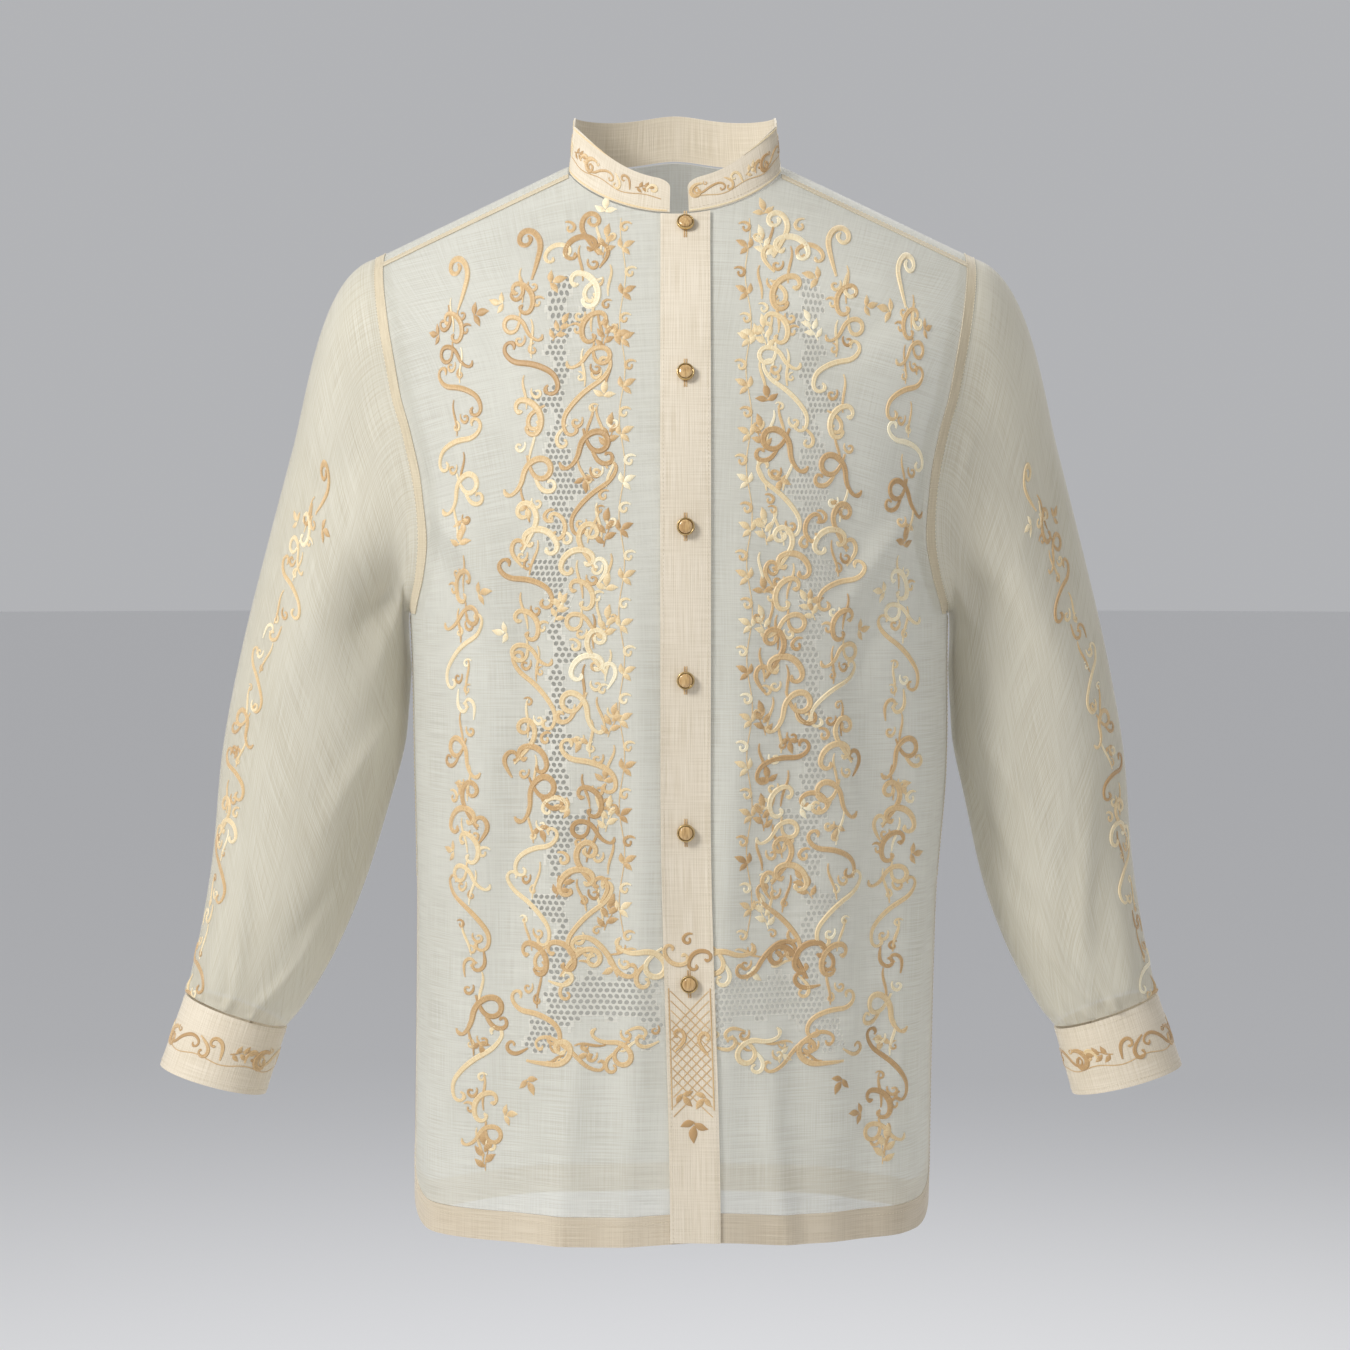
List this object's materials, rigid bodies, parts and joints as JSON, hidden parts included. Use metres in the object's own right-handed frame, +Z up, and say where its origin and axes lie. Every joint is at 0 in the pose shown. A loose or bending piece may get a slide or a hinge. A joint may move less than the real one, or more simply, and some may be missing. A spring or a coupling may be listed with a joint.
{
  "type": "barong tagalog shirt",
  "caption": "Long-sleeved formal shirt of sheer cloth with a stand collar, button band, curved hem and openwork embroidery, shown hollow as worn.",
  "frame": {"origin": "midway between the two side neck points, at the level of the neck seam, where the wearer's neck and shoulders carry the shirt", "axes": "+Z up along the body; the front faces -Y; +X is the wearer's left"},
  "size_m": [0.7646, 0.3055, 0.8345],
  "materials": {
    "sheer_cloth": "sheer plain weave with slubs and a soft sheen",
    "firm_cloth": "two or more layers of the same cloth, cream, with slubs",
    "thread": "satin-stitched thread, cream to gold",
    "brass": "polished",
    "amber_wood": "polished",
    "shirt_button": "shell-like"
  },
  "bodies": {
    "root": {"back": "sheer_cloth", "front_left": "sheer_cloth", "front_right": "sheer_cloth", "sleeve_left": "sheer_cloth", "sleeve_right": "sheer_cloth", "collar": "firm_cloth", "cuff_left": "firm_cloth", "cuff_right": "firm_cloth", "hem_back": "firm_cloth", "hem_front_left": "firm_cloth", "hem_front_right": "firm_cloth", "placket": "firm_cloth", "button_cup_1": "brass", "button_inlay_1": "amber_wood", "button_cup_2": "brass", "button_inlay_2": "amber_wood", "button_cup_3": "brass", "button_inlay_3": "amber_wood", "button_cup_4": "brass", "button_inlay_4": "amber_wood", "button_cup_5": "brass", "button_inlay_5": "amber_wood", "button_cup_6": "brass", "button_inlay_6": "amber_wood", "cuff_button_left": "shirt_button", "cuff_button_right": "shirt_button"}
  },
  "joints": []
}
